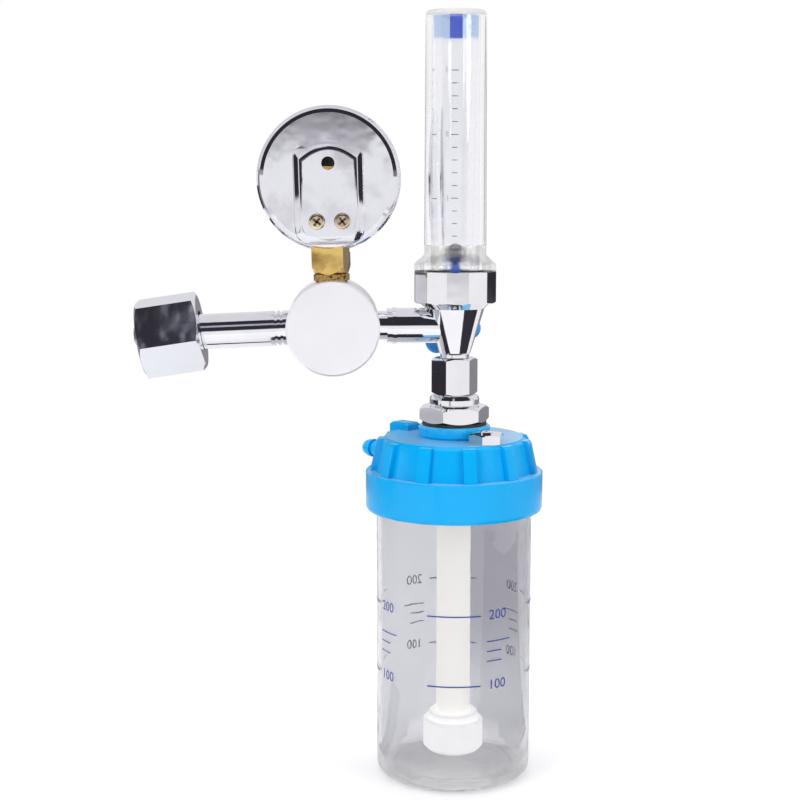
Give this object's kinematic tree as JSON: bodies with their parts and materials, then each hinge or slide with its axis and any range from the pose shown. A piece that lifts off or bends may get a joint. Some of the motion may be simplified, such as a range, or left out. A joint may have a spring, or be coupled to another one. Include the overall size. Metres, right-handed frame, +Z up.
{
  "type": "oxygen flowmeter",
  "caption": "Medical oxygen flowmeter: piston regulator with pressure gauge, clear float tube, star-knob needle valve and bubble humidifier bottle.",
  "frame": {"origin": "on the inlet nipple's axis, half way along its plain nose", "axes": "+Z up along the flow tube, +X from the inlet towards the flow tube, +Y towards the user's side with the knob and the gauge's dial"},
  "size_m": [0.1713, 0.0761, 0.3216],
  "materials": {
    "polished_metal": "bright chrome plating on brass",
    "gauge_metal": "bright chrome plating on pressed steel",
    "brass": "bare machined brass",
    "bronze": "drawn phosphor bronze",
    "bronze_filter": "sintered bronze",
    "yellow_zinc": "yellow zinc plating",
    "spring_steel": "drawn stainless wire",
    "dark_steel": "polished ball steel",
    "seal_rubber": "moulded oxygen-safe rubber",
    "thread_seal": "rust-brown thread sealant",
    "white_plastic": "plain white fluoropolymer",
    "dial_white": "matt white enamel",
    "pointer_black": "matt black enamel",
    "clear_lens": "clear moulded window",
    "clear_tube": "clear polycarbonate",
    "clear_bottle": "clear blown plastic",
    "knob_blue": "glossy moulded blue",
    "plug_blue": "glossy moulded deep blue",
    "seat_blue": "glossy moulded blue",
    "lid_blue": "satin moulded sky blue",
    "dip_white": "smooth moulded off-white",
    "diffuser_white": "smooth moulded white"
  },
  "bodies": {
    "flowmeter": {"inlet_stem": "polished_metal", "inlet_filter": "bronze_filter", "regulator_body": "polished_metal", "regulator_cover": "polished_metal", "piston_spring": "spring_steel", "gauge_case": "gauge_metal", "gauge_socket": "brass", "gauge_screws": "yellow_zinc", "thread_tape": "thread_seal", "bourdon_tube": "bronze", "tube_tip": "brass", "movement_plates": "brass", "gauge_dial": "dial_white", "dial_screws": "spring_steel", "gauge_lens": "clear_lens", "lens_seal": "seal_rubber", "gauge_bezel": "gauge_metal", "outlet_connector": "polished_metal", "flowmeter_body": "polished_metal", "valve_bonnet": "polished_metal", "tube_cover": "clear_tube", "metering_tube": "clear_tube", "tube_plug": "plug_blue", "float_seat": "seat_blue", "tube_gasket": "seal_rubber", "tail_piece": "polished_metal", "coupling_washer": "white_plastic", "lid_fitting": "polished_metal", "lid_washer": "seal_rubber", "lock_nut": "polished_metal", "humidifier_lid": "lid_blue", "relief_cap": "polished_metal", "relief_spring": "spring_steel", "dip_tube": "dip_white", "diffuser": "diffuser_white"},
    "inlet_nut": {"inlet_nut": "polished_metal"},
    "piston": {"regulator_piston": "brass", "piston_seat": "white_plastic", "piston_ring": "seal_rubber"},
    "sector": {"sector_gear": "brass"},
    "pointer": {"pinion_arbor": "brass", "gauge_pointer": "pointer_black"},
    "link": {"gauge_link": "brass"},
    "spindle_seal": {"spindle_ring": "seal_rubber"},
    "knob": {"valve_spindle": "brass", "flow_knob": "knob_blue", "knob_screw": "spring_steel"},
    "float": {"float_ball": "dark_steel"},
    "coupling_nut": {"coupling_nut": "polished_metal"},
    "relief_poppet": {"relief_poppet": "brass"},
    "bottle_seal": {"lid_gasket": "seal_rubber"},
    "bottle": {"bottle": "clear_bottle"}
  },
  "joints": [
    {"name": "inlet_nut_spin", "type": "hinge", "parent": "flowmeter", "child": "inlet_nut", "pos_m": [0.00503, 0, -0.00059], "axis": [-0.9893, 0, -0.1461], "continuous": true},
    {"name": "piston_slide", "type": "slide", "parent": "flowmeter", "child": "piston", "axis": [0, -1, 0], "range_m": [0, 0.0008], "stiffness_N_per_m": 20000, "springref_m": -0.002, "deforming": ["piston_spring"]},
    {"name": "sector_swing", "type": "hinge", "parent": "flowmeter", "child": "sector", "pos_m": [0.07128, 0, 0.05052], "axis": [0, 1, 0], "range_deg": [0, 33.75], "stiffness_Nm_per_rad": 0.002, "deforming": ["bourdon_tube"]},
    {"name": "pointer_turn", "type": "hinge", "parent": "flowmeter", "child": "pointer", "pos_m": [0.07095, 0, 0.06402], "axis": [0, 1, 0], "range_deg": [-270, 0]},
    {"name": "link_swing", "type": "hinge", "parent": "sector", "child": "link", "pos_m": [0.0629, 0, 0.04724], "axis": [0, 1, 0], "range_deg": [-43, 0]},
    {"name": "knob_turn", "type": "hinge", "parent": "spindle_seal", "child": "knob", "pos_m": [0.12344, 0, -0.00096], "axis": [0, 1, 0], "range_deg": [0, 900]},
    {"name": "spindle_slide", "type": "slide", "parent": "flowmeter", "child": "spindle_seal", "axis": [0, 1, 0], "range_m": [0, 0.002]},
    {"name": "float_rise", "type": "slide", "parent": "flowmeter", "child": "float", "axis": [0, 0, 1], "range_m": [0, 0.08]},
    {"name": "coupling_nut_spin", "type": "hinge", "parent": "flowmeter", "child": "coupling_nut", "pos_m": [0.12344, 0, -0.018], "axis": [0, 0, 1], "continuous": true},
    {"name": "relief_lift", "type": "slide", "parent": "flowmeter", "child": "relief_poppet", "axis": [0, 0, 1], "range_m": [0, 0.0012], "stiffness_N_per_m": 150, "springref_m": -0.002, "deforming": ["relief_spring"]},
    {"name": "bottle_turn", "type": "hinge", "parent": "bottle_seal", "child": "bottle", "pos_m": [0.12344, 0, -0.07], "axis": [0, 0, 1], "range_deg": [-540, 0]},
    {"name": "bottle_drop", "type": "slide", "parent": "flowmeter", "child": "bottle_seal", "axis": [0, 0, 1], "range_m": [-0.006, 0]}
  ],
  "couplings": [
    {"joint": "pointer_turn", "follows": "sector_swing", "ratio": -8},
    {"joint": "link_swing", "follows": "sector_swing", "ratio": -1.26},
    {"joint": "knob_turn", "follows": "spindle_slide", "rad_per_m": 7854},
    {"joint": "bottle_turn", "follows": "bottle_drop", "rad_per_m": 1570.8}
  ]
}
